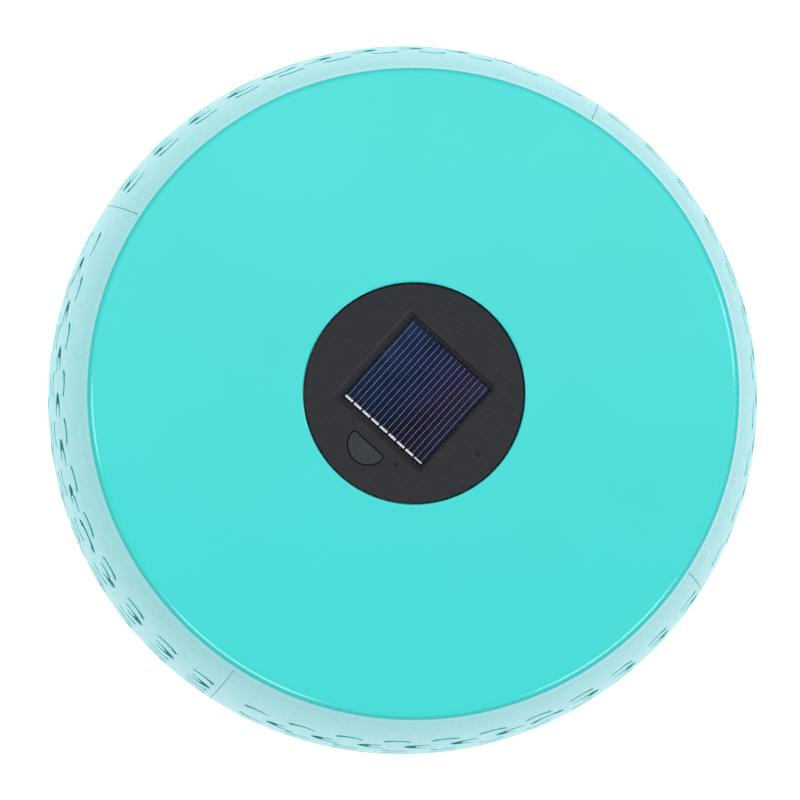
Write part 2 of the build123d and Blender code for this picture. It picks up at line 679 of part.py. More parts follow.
with BuildPart() as battery_door:
    block(DOOR_TOP - DOOR_THICKNESS, DOOR_TOP, (2 * DOOR_HALF_WIDTH, 2 * DOOR_HALF_LENGTH), DOOR_MIDDLE)
    with BuildSketch(lamp_plane(DOOR_TOP - DOOR_THICKNESS, (BATTERY_X, DOOR_HALF_LENGTH - GRIP_INSET))):
        with GridLocations(0, GRIP_PITCH, 1, GRIP_RIDGES):
            Rectangle(*GRIP_SIZE)
    extrude(amount=-GRIP_HEIGHT)
save(battery_door.part, "battery_door")
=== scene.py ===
"""Looks of the solar garden stool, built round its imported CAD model. Metres, +Z up."""

from math import asin, atan2, cos, hypot, pi, radians, sin, sqrt, tan

import bmesh
import bpy
from mathutils import Matrix, Vector
from mathutils.geometry import delaunay_2d_cdt


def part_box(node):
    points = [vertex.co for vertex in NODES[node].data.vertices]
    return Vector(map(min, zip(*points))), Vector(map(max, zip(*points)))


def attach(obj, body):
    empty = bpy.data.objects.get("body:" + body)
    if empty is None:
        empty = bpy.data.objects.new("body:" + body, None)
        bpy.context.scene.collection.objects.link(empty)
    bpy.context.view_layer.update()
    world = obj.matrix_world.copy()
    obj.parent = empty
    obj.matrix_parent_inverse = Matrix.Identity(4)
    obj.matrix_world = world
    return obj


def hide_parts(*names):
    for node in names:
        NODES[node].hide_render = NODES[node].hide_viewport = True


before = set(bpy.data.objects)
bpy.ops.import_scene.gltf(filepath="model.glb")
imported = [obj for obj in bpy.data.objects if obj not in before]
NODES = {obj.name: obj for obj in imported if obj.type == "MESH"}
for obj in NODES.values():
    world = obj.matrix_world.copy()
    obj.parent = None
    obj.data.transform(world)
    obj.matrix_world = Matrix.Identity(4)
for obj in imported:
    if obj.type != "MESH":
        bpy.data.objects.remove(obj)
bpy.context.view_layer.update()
MM = 0.001
UP = (0, 0, 1)
DOWN = (0, 0, -1)

# Drum, worked out from the imported CAD model's pieces
SEAT_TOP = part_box("seat_top")[1].z
PANEL_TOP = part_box("side_panel_1")[1].z
PANEL_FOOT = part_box("side_panel_1")[0].z
BELLY_R = -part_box("side_panel_2")[0].x
BELLY_HEIGHT = SEAT_TOP / 2
NECK_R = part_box("seat_top")[1].x
SWELL = BELLY_R - NECK_R
NECK_RISE = PANEL_TOP - BELLY_HEIGHT
ARC_R = (NECK_RISE**2 + SWELL**2) / (2 * SWELL)
SHEET = 0.8 * MM

# Drum panels
PANELS = 4
FIRST_PANEL = 102.0
SEAM_GAP = 0.2 * MM
PANEL_HALF = radians(180 / PANELS) - SEAM_GAP / 2 / BELLY_R
BORDER_ACROSS = 48
BORDER_UP = 54
GRID = 7 * MM

# Pierced pattern: bands of three rows of crescents
BANDS = 5
BAND_PITCH = 66 * MM
TOP_ROW = 390 * MM
ROW_DROP = 21 * MM
SIDE_ROW_EXTRA_DROP = 9 * MM
ROW_SAG = 15 * MM
MOTIFS = 11
MOTIF_PITCH = 8.03
PATTERN_SHIFTS = (0.1, 1.9, 2.0, 0.8)
SIDE_MIDDLE = 6.19
SIDE_PITCH = 0.95
SIDE_FIRST = -6
SIDE_GATHER = 0.08
ARCH_LEAN = 4.0
ARCH_CRESCENT = (12.5 * MM, 7.0 * MM, 4.2 * MM, 1.2 * MM)
SIDE_ROLL = 70.0
SIDE_ROLL_STEP = 8.0
SIDE_CRESCENT = (16.0 * MM, 11.0 * MM, 5.2 * MM, 3.0 * MM)
TIP_SHARE = 0.53
EDGE_R = 0.2 * MM
EDGE_STEPS = 3
BACK_STEPS = 9
TIP_STEPS = 4
HOLLOW_STEPS = 7

# Seat
RIM_R = 140.7 * MM
RIM_FILLET = 3.7 * MM
HOLE_FILLET = 0.9 * MM
LAMP_GAP = 0.55 * MM
SEAT_STEPS = PANELS * BORDER_ACROSS
SUPPORT = 0.3 * MM

# Lamp unit. Its own x runs from the button across the cell.
LAMP_TURN = radians(48)
LAMP_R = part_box("lamp_cover")[1].x
LAMP_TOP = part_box("lamp_cover")[1].z
COVER_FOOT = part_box("lamp_cover")[0].z
LAMP_HOLE_R = LAMP_R + LAMP_GAP
LAMP_STEPS = 128
COVER_EDGE = 0.5 * MM
FINE_EDGE = 0.15 * MM
COVER_WALL = 1.7 * MM
PLATE_UNDER = LAMP_TOP - 2.4 * MM
REBATE_TOP = COVER_FOOT + 4.8 * MM
RECESS_SIDE = 50.5 * MM
RECESS_CENTRE = (0.65 * MM, 0.5 * MM)
RECESS_DEPTH = 2.4 * MM
RECESS_CORNER = 1.2 * MM
RECESS_EDGE = 0.35 * MM
RECESS_BEND = 0.14
RECESS_STEPS = 5
CELL_SIDE = 45.0 * MM
CELL_CENTRE = (1.1 * MM, -0.6 * MM)
CELL_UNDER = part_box("solar_cell")[0].z
POCKET_SIDE = 45.6 * MM
POCKET_CORNER = 0.4 * MM
TRAY_SIDE = 49.0 * MM
TRAY_FLOOR = 1.0 * MM
MARK_R = 1.4 * MM
MARK_SPOT = (-1.1 * MM, -38.2 * MM)
MARK_DEPTH = 1.0 * MM
DIMPLE_R = 0.75 * MM
DIMPLE_SPOT = (-28.1 * MM, -14.7 * MM)
DIMPLE_SIDES = 10

# Solar cell
GRID_LINES = 18
GRID_PITCH = 2.5 * MM
GRID_WIDTH = 0.17 * MM
GRID_HEIGHT = 0.02 * MM
GRID_MARGIN = 0.6 * MM
TAB_COUNT = 9
TAB_SIZE = (1.2 * MM, 4.1 * MM)
TAB_MARGIN = 0.4 * MM
TAB_HEIGHT = 0.14 * MM
LAST_TAB_WIDTH = 0.7 * MM
CELL_SHADES = (
    (0.0, (0.0050, 0.0150, 0.042)),
    (0.27, (0.0020, 0.0085, 0.031)),
    (0.5, (0.0042, 0.0070, 0.026)),
    (0.72, (0.0066, 0.0056, 0.021)),
    (0.85, (0.0080, 0.0080, 0.019)),
    (1.0, (0.0078, 0.0105, 0.030)),
)

# Power button
BUTTON_FLAT = -29.2 * MM
BUTTON_LENGTH = 17.5 * MM
BUTTON_DEPTH = 9.4 * MM
BUTTON_CORNER = 1.8 * MM
BUTTON_GAP = 0.35 * MM
BUTTON_EDGE = 0.5 * MM
BUTTON_FLANGE = 1.2 * MM
BUTTON_PLAY = 0.1 * MM
BUTTON_STEM = (-33.5 * MM, 0.0)
BUTTON_STEM_R = 2.0 * MM
SIGN_SPOT = (-33.2 * MM, 0.0)
SIGN_R = 1.7 * MM
SIGN_WIDTH = 0.45 * MM
SIGN_HEIGHT = 0.15 * MM
SIGN_OPENING = 80.0

# Finishes
SLOPE_UP = (0.86, 0.98)
SLOPE_GLOSS = 0.4
SLOPE_GRAIN = 0.15
WINDOW_IOR = 1.1
WINDOW_SCUFFS = 220
WINDOW_ROUGHNESS = (0.22, 0.34)
CELL_LIGHTER = (0.6, 1.5)
CELL_CRYSTALS = (0.75, 1.3)
CELL_GRAIN = (0.75, 1.25)

# Light and camera
BRIGHT_SIDE = (0.5, 0.866, 0.0)
LOW_LIGHT = (0.62, 0.65, 0.7)
SIDE_LIGHT = (1.45, 1.9)
OVERHEAD_LIGHT = (-0.45, 0.4)
FLOOR_REACH = 6.0
# Floor colours and glow are painted light: a pool whitest round the stool, and a glow that lightens its
# shadow.
FLOOR_POOL_NEAR = (0.9, 0.905, 0.97)
FLOOR_BEYOND_POOL = (0.36, 0.37, 0.39)
FLOOR_POOL_FADE = (0.35, 1.0)
FLOOR_GLOW = 0.35
FLOOR_GLOW_FADE = (0.17, 0.34)
SIDE_FADE = (-0.6, 0.6)
OVERHEAD_FADE = (-0.08, 0.12)
ZENITH_FADE = (0.85, 0.95)
HORIZON_FADE = (0.05, 0.65)
SOFTBOXES = ((184, 15), (238, 33), (311, 31), (12, 15))
SOFTBOX_RISE = 45.0
SOFTBOX_HEIGHT = 24.0
SOFTBOX_FAR = 2.5
SOFTBOX_LIGHT = 5.5
CAMERA_SPOT = (-0.05754, -0.03401, 2.11641)
CAMERA_AIM = (0.00074, 0.00129, 0.225)
CAMERA_LENS = 173.58


# Mesh helpers


class Mesh:
    """Collects the points, normals and faces of one piece. A zero normal is left for Blender to work out."""

    def __init__(self):
        self.points = []
        self.normals = []
        self.faces = []

    def add(self, points, normals=None):
        """Add points, and return their numbers."""
        first = len(self.points)
        points = [Vector(p) for p in points]
        self.points += points
        if normals is None:
            normals = [Vector((0, 0, 0))] * len(points)
        elif isinstance(normals, tuple):
            normals = [Vector(normals)] * len(points)
        self.normals += normals
        return list(range(first, len(self.points)))

    def bridge(self, first, second):
        """Join two closed rings that have the same number of points."""
        for i in range(len(first)):
            j = (i + 1) % len(first)
            self.faces.append((first[i], first[j], second[j], second[i]))

    def bridge_all(self, rings):
        """Join a run of closed rings, each to the next."""
        for first, second in zip(rings, rings[1:]):
            self.bridge(first, second)

    def turned(self, turn):
        """A copy turned about the upright axis."""
        spin = Matrix.Rotation(turn, 3, "Z")
        copy = Mesh()
        copy.points = [spin @ p for p in self.points]
        copy.normals = [spin @ n for n in self.normals]
        copy.faces = list(self.faces)
        return copy

    def build(self, name, material, body, slot, nodes=(), sharp=35):
        """Make the Blender object, which rides on a body and may replace CAD nodes."""
        data = bpy.data.meshes.new(name)
        data.from_pydata(self.points, [], self.faces)
        piece = bpy.data.objects.new(name, data)
        bpy.context.scene.collection.objects.link(piece)
        face_outwards(data)
        data.shade_smooth()
        data.set_sharp_from_angle(angle=radians(sharp))
        if any(n.length > 0 for n in self.normals):
            data.normals_split_custom_set_from_vertices(self.normals)
        data.materials.append(material)
        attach(piece, body)
        if nodes:
            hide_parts(*nodes)
        return piece


def face_outwards(data):
    """Turn every face of a closed mesh outwards."""
    shell = bmesh.new()
    shell.from_mesh(data)
    bmesh.ops.recalc_face_normals(shell, faces=shell.faces)
    shell.to_mesh(data)
    shell.free()


def triangles(loops, inner_points=()):
    """Triangles between an outer loop and the holes in it, as numbers into all the points in order."""
    flat = [p for loop in loops for p in loop] + list(inner_points)
    rings = []
    first = 0
    for loop in loops:
        rings.append(list(range(first, first + len(loop))))
        first += len(loop)
    scaled = [Vector((p[0] / MM, p[1] / MM)) for p in flat]
    _, _, faces, origins, _, owners = delaunay_2d_cdt(scaled, [], rings, 1, 1e-6, True)
    kept = [face for face, owner in zip(faces, owners) if owner == [0]]
    return [tuple(origins[v][0] for v in face) for face in kept]


def circle(radius, count, centre=(0, 0)):
    """Points of a circle."""
    steps = [2 * pi * i / count for i in range(count)]
    return [(centre[0] + radius * cos(a), centre[1] + radius * sin(a)) for a in steps]


def arc(centre, radius, start, end, steps):
    """Points of an arc, without its end."""
    angles = [start + (end - start) * i / steps for i in range(steps)]
    return [(centre[0] + radius * cos(a), centre[1] + radius * sin(a)) for a in angles]


def edge_rings(radius, steps):
    """(grow, depth) of the rings that round an edge, from the face down the wall."""
    angles = [pi / 2 * i / steps for i in range(steps + 1)]
    return [(radius * (1 - sin(a)), radius * (1 - cos(a))) for a in angles]


def lathe(profile, count):
    """Mesh of a closed profile of (radius, height) turned about the upright axis."""
    mesh = Mesh()
    rings = [mesh.add([(x, y, z) for x, y in circle(r, count)]) for r, z in profile]
    mesh.bridge_all(rings + rings[:1])
    return mesh


def fillet(centre, radius, start, end, steps):
    """Points of an arc, with both its ends."""
    return arc(centre, radius, start, end, steps) + arc(centre, radius, end, end, 1)


# Material helpers


class Surface:
    """A material whose shader inputs are driven by noise in the piece's own coordinates."""

    def __init__(self, name, colour, roughness, metallic=0.0, specular=0.5):
        self.material = bpy.data.materials.new(name)
        self.material.use_nodes = True
        self.tree = self.material.node_tree
        self.shader = self.tree.nodes["Principled BSDF"]
        self.place = self.node("ShaderNodeTexCoord").outputs["Object"]
        self.set("Base Color", (*colour, 1))
        self.set("Roughness", roughness)
        self.set("Metallic", metallic)
        self.set("Specular IOR Level", specular)

    def node(self, kind):
        return self.tree.nodes.new(kind)

    def link(self, source, target):
        self.tree.links.new(source, target)

    def set(self, name, value):
        self.shader.inputs[name].default_value = value

    def noise(self, scale, detail=2.0, stretch=None):
        """Noise of a number of lumps per metre."""
        noise = self.node("ShaderNodeTexNoise")
        noise.inputs["Scale"].default_value = scale
        noise.inputs["Detail"].default_value = detail
        source = self.place
        if stretch:
            mapping = self.node("ShaderNodeMapping")
            mapping.inputs["Scale"].default_value = stretch
            self.link(source, mapping.inputs["Vector"])
            source = mapping.outputs["Vector"]
        self.link(source, noise.inputs["Vector"])
        return noise.outputs["Fac"]

    def spread(self, source, low, high, start=0.3, end=0.7):
        """Map noise to a range."""
        spread = self.node("ShaderNodeMapRange")
        spread.inputs["From Min"].default_value = start
        spread.inputs["From Max"].default_value = end
        spread.inputs["To Min"].default_value = low
        spread.inputs["To Max"].default_value = high
        self.link(source, spread.inputs["Value"])
        return spread.outputs["Result"]

    def colours(self, source, low, high):
        """Mix two colours by noise."""
        mix = self.node("ShaderNodeMix")
        mix.data_type = "RGBA"
        self.link(source, mix.inputs["Factor"])
        mix.inputs["A"].default_value = (*low, 1)
        mix.inputs["B"].default_value = (*high, 1)
        self.link(mix.outputs["Result"], self.shader.inputs["Base Color"])

    def rough(self, source):
        self.link(source, self.shader.inputs["Roughness"])

    def times(self, first, second):
        """Product of two values."""
        product = self.node("ShaderNodeMath")
        product.operation = "MULTIPLY"
        self.link(first, product.inputs[0])
        self.link(second, product.inputs[1])
        return product.outputs["Value"]

    def along(self, direction):
        """Place along a level direction given as an angle."""
        place = self.node("ShaderNodeVectorMath")
        place.operation = "DOT_PRODUCT"
        place.inputs[1].default_value = (cos(direction), sin(direction), 0)
        self.link(self.place, place.inputs[0])
        return place.outputs["Value"]

    def level(self, slope, flat):
        """A value for sloping faces that changes to another where the surface is level."""
        split = self.node("ShaderNodeSeparateXYZ")
        self.link(self.node("ShaderNodeNewGeometry").outputs["Normal"], split.inputs[0])
        return self.spread(split.outputs["Z"], slope, flat, *SLOPE_UP)

    def bump(self, source, distance):
        """Raise the surface by a height in metres."""
        bump = self.node("ShaderNodeBump")
        bump.inputs["Distance"].default_value = distance
        self.link(source, bump.inputs["Height"])
        self.link(bump.outputs["Normal"], self.shader.inputs["Normal"])
        return bump


def enamel(name, roughness, unevenness, peel):
    """Turquoise enamel: faint orange peel and slight differences in shade and gloss."""
    surface = Surface(name, (0.014, 0.46, 0.437), roughness)
    shade = surface.spread(surface.noise(9, 3), 0, 1)
    surface.colours(shade, (0.0135, 0.45, 0.427), (0.0145, 0.47, 0.447))
    gloss = surface.noise(160, 3)
    surface.rough(surface.spread(gloss, (1 - unevenness) * roughness, (1 + unevenness) * roughness))
    surface.bump(surface.noise(420, 1), peel)
    return surface.material


def moulded_plastic(name, colour, roughness, grain=0.02 * MM, specular=0.25, polished=False):
    """Moulded plastic with a fine spark-eroded grain, and if asked with polished slopes and edges."""
    surface = Surface(name, colour, roughness, specular=specular)
    low = tuple(0.8 * c for c in colour)
    high = tuple(1.25 * c for c in colour)
    surface.colours(surface.spread(surface.noise(900, 2), 0, 1), low, high)
    gloss = surface.spread(surface.noise(300, 3), roughness - 0.06, roughness + 0.06)
    bump = surface.bump(surface.noise(1900, 2), grain)
    if polished:
        gloss = surface.times(gloss, surface.level(SLOPE_GLOSS, 1))
        surface.link(surface.level(SLOPE_GRAIN, 1), bump.inputs["Strength"])
    surface.rough(gloss)
    return surface.material


def rubber():
    """Matt black rubber with a dusty bloom."""
    surface = Surface("black_rubber", (0.012, 0.012, 0.012), 0.8, specular=0.3)
    surface.colours(surface.spread(surface.noise(120, 4), 0, 1), (0.009, 0.009, 0.009), (0.022, 0.022, 0.021))
    surface.bump(surface.noise(1400, 2), 0.02 * MM)
    return surface.material


def metal(name, colour, roughness, scale=500, stretch=None):
    """Plated metal with fine scratches."""
    surface = Surface(name, colour, roughness, metallic=1.0)
    source = surface.noise(scale, 4, stretch)
    low = tuple(0.9 * c for c in colour)
    surface.colours(surface.spread(source, 0, 1), low, colour)
    surface.rough(surface.spread(source, roughness - 0.08, roughness + 0.1))
    surface.bump(source, 0.004 * MM)
    return surface.material


def silicon():
    """Dark solar cell whose shade drifts across its lines from navy to purple, bluer near one edge."""
    surface = Surface("cell_silicon", CELL_SHADES[2][1], 0.3, specular=0.0)
    reach = CELL_SIDE / 2
    across = surface.along(LAMP_TURN + pi / 2)
    share = surface.spread(across, 1, 0, CELL_CENTRE[1] - reach, CELL_CENTRE[1] + reach)
    along = surface.along(LAMP_TURN)
    lighter = surface.spread(along, *CELL_LIGHTER, CELL_CENTRE[0] - reach, CELL_CENTRE[0] + reach)
    ramp = surface.node("ShaderNodeValToRGB")
    stops = ramp.color_ramp.elements
    while len(stops) < len(CELL_SHADES):
        stops.new(1.0)
    for stop, (place, colour) in zip(stops, CELL_SHADES):
        stop.position = place
        stop.color = (*colour, 1)
    surface.link(share, ramp.inputs["Fac"])
    crystals = surface.times(surface.spread(surface.noise(60, 2), *CELL_CRYSTALS),
                             surface.spread(surface.noise(1100, 2), *CELL_GRAIN))
    shade = surface.node("ShaderNodeMix")
    shade.data_type = "RGBA"
    shade.blend_type = "MULTIPLY"
    shade.inputs["Factor"].default_value = 1.0
    surface.link(ramp.outputs["Color"], shade.inputs["A"])
    surface.link(surface.times(crystals, lighter), shade.inputs["B"])
    surface.link(shade.outputs["Result"], surface.shader.inputs["Base Color"])
    return surface.material


def clear_cover():
    """Clear sheet with little glare: what lies behind shows through, less so at grazing angles."""
    material = bpy.data.materials.new("clear_sheet")
    material.use_nodes = True
    tree = material.node_tree
    tree.nodes.clear()
    output = tree.nodes.new("ShaderNodeOutputMaterial")
    mix = tree.nodes.new("ShaderNodeMixShader")
    fresnel = tree.nodes.new("ShaderNodeFresnel")
    fresnel.inputs["IOR"].default_value = WINDOW_IOR
    clear = tree.nodes.new("ShaderNodeBsdfTransparent")
    gloss = tree.nodes.new("ShaderNodeBsdfGlossy")
    noise = tree.nodes.new("ShaderNodeTexNoise")
    noise.inputs["Scale"].default_value = WINDOW_SCUFFS
    scuffs = tree.nodes.new("ShaderNodeMapRange")
    scuffs.inputs["To Min"].default_value = WINDOW_ROUGHNESS[0]
    scuffs.inputs["To Max"].default_value = WINDOW_ROUGHNESS[1]
    tree.links.new(tree.nodes.new("ShaderNodeTexCoord").outputs["Object"], noise.inputs["Vector"])
    tree.links.new(noise.outputs["Fac"], scuffs.inputs["Value"])
    tree.links.new(scuffs.outputs["Result"], gloss.inputs["Roughness"])
    tree.links.new(fresnel.outputs[0], mix.inputs[0])
    tree.links.new(clear.outputs[0], mix.inputs[1])
    tree.links.new(gloss.outputs[0], mix.inputs[2])
    tree.links.new(mix.outputs[0], output.inputs["Surface"])
    return material


def board():
    """Green solder mask over woven glass."""
    surface = Surface("board_green", (0.008, 0.085, 0.03), 0.4)
    surface.colours(surface.spread(surface.noise(60, 3), 0, 1), (0.006, 0.07, 0.024), (0.012, 0.1, 0.037))
    surface.bump(surface.noise(1500, 1, (1, 0.2, 1)), 0.01 * MM)
    return surface.material


def frosted():
    """Milky lens that lets most of the light through."""
    surface = Surface("frosted_lens", (0.86, 0.88, 0.9), 0.45)
    surface.set("Transmission Weight", 0.6)
    surface.rough(surface.spread(surface.noise(400, 3), 0.35, 0.55))
    surface.bump(surface.noise(1200, 2), 0.01 * MM)
    return surface.material


def phosphor():
    """Yellow phosphor under clear resin."""
    surface = Surface("led_epoxy", (0.8, 0.62, 0.16), 0.15)
    surface.colours(surface.spread(surface.noise(900, 2), 0, 1), (0.74, 0.52, 0.1), (0.86, 0.7, 0.24))
    surface.rough(surface.spread(surface.noise(500, 2), 0.1, 0.22))
    return surface.material


def sleeve():
    """Printed plastic film shrunk round a battery, with fine wrinkles along it."""
    surface = Surface("battery_sleeve", (0.03, 0.2, 0.09), 0.3)
    surface.colours(surface.spread(surface.noise(30, 2), 0, 1), (0.025, 0.17, 0.075), (0.036, 0.23, 0.105))
    surface.rough(surface.spread(surface.noise(260, 3), 0.22, 0.4))
    surface.bump(surface.noise(300, 2, (1, 1, 0.2)), 0.02 * MM)
    return surface.material


ENAMEL = enamel("glossy_enamel", 0.1, 0.25, 0.006 * MM)
DRUM_ENAMEL = enamel("drum_enamel", 0.26, 0.06, 0.0015 * MM)
CHARCOAL = moulded_plastic("charcoal_plastic", (0.0088, 0.0104, 0.013), 0.5, specular=0.15)
COVER = moulded_plastic("cover_plastic", (0.0088, 0.0104, 0.013), 0.5, 0.02 * MM, 0.15, True)
BUTTON = moulded_plastic("button_plastic", (0.0131, 0.017, 0.0218), 0.4, 0.008 * MM, 0.2, True)
SIGN = moulded_plastic("sign_plastic", (0.022, 0.026, 0.031), 0.3, 0.004 * MM, 0.3, True)
BLACK = moulded_plastic("black_plastic", (0.006, 0.006, 0.006), 0.35, 0.004 * MM, 0.4)
RUBBER = rubber()
TINNED = metal("tinned_copper", (0.42, 0.41, 0.4), 0.35)
ZINC = metal("bright_zinc", (0.6, 0.6, 0.6), 0.25)
NICKEL = metal("nickel_plate", (0.62, 0.6, 0.56), 0.25)
SILVER = metal("silver_print", (0.17, 0.19, 0.28), 0.5)
SILICON = silicon()
CLEAR = clear_cover()
BOARD = board()
FROSTED = frosted()
PHOSPHOR = phosphor()
SLEEVE = sleeve()


# Drum: pierced panels


def on_drum(turn, tilt, depth=0.0):
    """Point at a turn about the axis and a tilt about the barrel's arc, at a depth below the outside."""
    radius = BELLY_R - ARC_R + (ARC_R - depth) * cos(tilt)
    return Vector((radius * cos(turn), radius * sin(turn), BELLY_HEIGHT + (ARC_R - depth) * sin(tilt)))


def drum_normal(turn, tilt):
    """Outward direction of the barrel."""
    return Vector((cos(turn) * cos(tilt), sin(turn) * cos(tilt), sin(tilt)))


def tilt_at(height, depth=0.0):
    """Tilt of the barrel's wall at a height."""
    return asin((height - BELLY_HEIGHT) / (ARC_R - depth))


def crescent(size, grow):
    """Outline of a crescent with round tips, its back up, grown by a distance. Points run anticlockwise."""
    width, height, thickness, tip_width = size
    hollow = height - thickness
    mouth = width / 2 - tip_width
    tip_r = TIP_SHARE * tip_width
    back_r = (width**2 / 4 + height**2) / (2 * height)
    hollow_r = (mouth**2 + hollow**2) / (2 * hollow)
    back_y = height / 2 - back_r
    hollow_y = height / 2 - thickness - hollow_r
    reach = back_r - tip_r
    far = hollow_r + tip_r
    tip_y = (reach**2 - far**2 - back_y**2 + hollow_y**2) / (2 * (hollow_y - back_y))
    tip_x = sqrt(reach**2 - (tip_y - back_y) ** 2)
    back = atan2(tip_y - back_y, tip_x)
    inward = atan2(hollow_y - tip_y, -tip_x)
    tip = tip_r + grow
    outline = arc((0, back_y), back_r + grow, back, pi - back, BACK_STEPS)
    outline += arc((-tip_x, tip_y), tip, pi - back, pi - inward, TIP_STEPS)
    outline += arc((0, hollow_y), hollow_r - grow, -inward, pi + inward, HOLLOW_STEPS)
    outline += arc((tip_x, tip_y), tip, inward, back, TIP_STEPS)
    return outline


def row_sag(index):
    """How far a row hangs below its middle."""
    return ROW_SAG * ((index - MOTIFS / 2) / (MOTIFS / 2)) ** 2


def motifs():
    """(size, index along the row, height, roll) of every crescent on a panel."""
    middle = (MOTIFS - 1) / 2
    for band in range(BANDS):
        top = TOP_ROW - band * BAND_PITCH
        low = top - 2 * ROW_DROP - SIDE_ROW_EXTRA_DROP / 2
        for i in range(MOTIFS):
            lean = ARCH_LEAN * (i - middle)
            yield ARCH_CRESCENT, i, top - row_sag(i), -lean
            yield ARCH_CRESCENT, i, low - row_sag(i), 180 + lean
            step = SIDE_FIRST + i
            index = SIDE_MIDDLE + SIDE_PITCH * step + SIDE_GATHER * (step < 0)
            drop = row_sag(index) + SIDE_ROW_EXTRA_DROP * (step / SIDE_FIRST) ** 2
            roll = 0
            if step:
                roll = -(SIDE_ROLL + SIDE_ROLL_STEP * (abs(step) - 1)) * step / abs(step)
            yield SIDE_CRESCENT, index, top - ROW_DROP - drop, roll


def motif_turn(index, shift):
    """Turn of a crescent's middle from the middle of its panel."""
    return radians((index - (MOTIFS - 1) / 2) * MOTIF_PITCH + shift)


def motif_loop(size, index, height, roll, shift, grow):
    """Turns and tilts of one crescent's outline on the drum."""
    turn = motif_turn(index, shift)
    tilt = tilt_at(height)
    radius = BELLY_R - ARC_R + ARC_R * cos(tilt)
    c, s = cos(radians(roll)), sin(radians(roll))
    outline = crescent(size, grow)
    return [(turn + (c * x - s * y) / radius, tilt + (s * x + c * y) / ARC_R) for x, y in outline]


def border_loop(grow, depth):
    """Turns and tilts round a panel, whose two upright edges are drawn in."""
    half = PANEL_HALF - grow / BELLY_R
    low, high = PANEL_FOOT, PANEL_TOP
    turns = [half * (2 * i / BORDER_ACROSS - 1) for i in range(BORDER_ACROSS)]
    heights = [low + (high - low) * i / BORDER_UP for i in range(BORDER_UP)]
    loop = [(t, low) for t in turns] + [(half, z) for z in heights]
    loop += [(-t, high) for t in turns] + [(-half, low + high - z) for z in heights]
    return [(turn, tilt_at(z, depth)) for turn, z in loop]


def unrolled(loop):
    """The drum's turns and tilts as lengths on a flat sheet."""
    return [(turn * BELLY_R, tilt * ARC_R) for turn, tilt in loop]


def grid_points(centres):
    """Evenly spread points on the sheet that stay clear of the crescents and the border."""
    half = PANEL_HALF * BELLY_R
    low, high = tilt_at(PANEL_FOOT) * ARC_R, tilt_at(PANEL_TOP) * ARC_R
    across = int(2 * half / GRID)
    up = int((high - low) / GRID)
    points = []
    for i in range(1, across):
        for j in range(1, up):
            x = -half + 2 * half * (i + 0.25 * (-1) ** j) / across
            y = low + (high - low) * j / up
            if all(hypot(x - cx, y - cy) > reach for cx, cy, reach in centres):
                points.append((x / BELLY_R, y / ARC_R))
    return points


def panel_mesh(shift):
    """A pierced panel whose holes and upright edges are rounded by the enamel."""
    patterns = list(motifs())
    rings = edge_rings(EDGE_R, EDGE_STEPS)
    back_edge = EDGE_R / 2
    rings += [(0, SHEET - back_edge), (back_edge, SHEET)]
    loops = []
    for grow, depth in rings:
        row = [border_loop(grow, depth)]
        row += [motif_loop(*pattern, shift, grow) for pattern in patterns]
        loops.append(row)
    centres = []
    for size, index, height, _ in patterns:
        centre = (motif_turn(index, shift) * BELLY_R, tilt_at(height) * ARC_R)
        centres.append((*centre, size[0] / 2 + 2 * MM))
    inner = grid_points(centres)
    faces = triangles([unrolled(loop) for loop in loops[0]], unrolled(inner))

    mesh = Mesh()
    numbers = []
    for (_, depth), row in zip(rings, loops):
        side = {0.0: 1, SHEET: -1}.get(depth, 0)
        numbers.append([])
        for loop in row:
            points = [on_drum(turn, tilt, depth) for turn, tilt in loop]
            normals = [side * drum_normal(turn, tilt) for turn, tilt in loop]
            numbers[-1].append(mesh.add(points, normals))
    for number in range(len(loops[0])):
        mesh.bridge_all([row[number] for row in numbers])
    for row, depth, side in ((numbers[0], 0, 1), (numbers[-1], SHEET, -1)):
        points = [on_drum(turn, tilt, depth) for turn, tilt in inner]
        normals = [side * drum_normal(turn, tilt) for turn, tilt in inner]
        flat = [v for ring in row for v in ring] + mesh.add(points, normals)
        mesh.faces += [tuple(flat[v] for v in face) for face in faces]
    return mesh


def make_panels():
    for number, shift in enumerate(PATTERN_SHIFTS):
        turn = radians(FIRST_PANEL + number * 360 / PANELS)
        name = f"pierced_panel_{number + 1}"
        panel = panel_mesh(shift).turned(turn)
        panel.build(name, DRUM_ENAMEL, "stool", "enamelled_steel", [f"side_panel_{number + 1}"])


# Seat


def make_seat():
    """Pressed seat disc: rounded rim and skirt outside, rounded edge and collar round the lamp hole."""
    drop = atan2(SEAT_TOP - PANEL_TOP, NECK_R - RIM_R)
    rim = (RIM_R - RIM_FILLET * tan(drop / 2), SEAT_TOP - RIM_FILLET)
    hole = (LAMP_HOLE_R + HOLE_FILLET, SEAT_TOP - HOLE_FILLET)
    under = SEAT_TOP - SHEET
    profile = [(LAMP_HOLE_R, PANEL_TOP), (LAMP_HOLE_R, hole[1] - SUPPORT)]
    profile += fillet(hole, HOLE_FILLET, pi, pi / 2, 6)
    profile += [(hole[0] + SUPPORT, SEAT_TOP), (rim[0] - SUPPORT, SEAT_TOP)]
    profile += fillet(rim, RIM_FILLET, pi / 2, pi / 2 - drop, 10)
    profile += [(NECK_R, PANEL_TOP), (NECK_R - SHEET, PANEL_TOP)]
    profile += fillet(rim, RIM_FILLET - SHEET, pi / 2 - drop, pi / 2, 6)
    profile += [(rim[0] - SUPPORT, under), (LAMP_HOLE_R + SHEET, under), (LAMP_HOLE_R + SHEET, PANEL_TOP)]
    lathe(profile, SEAT_STEPS).build("seat_disc", ENAMEL, "stool", "enamelled_steel", ["seat_top"])


# Lamp unit


def lamp_point(x, y, z):
    """Point given in the lamp's own directions."""
    c, s = cos(LAMP_TURN), sin(LAMP_TURN)
    return Vector((c * x - s * y, s * x + c * y, z))


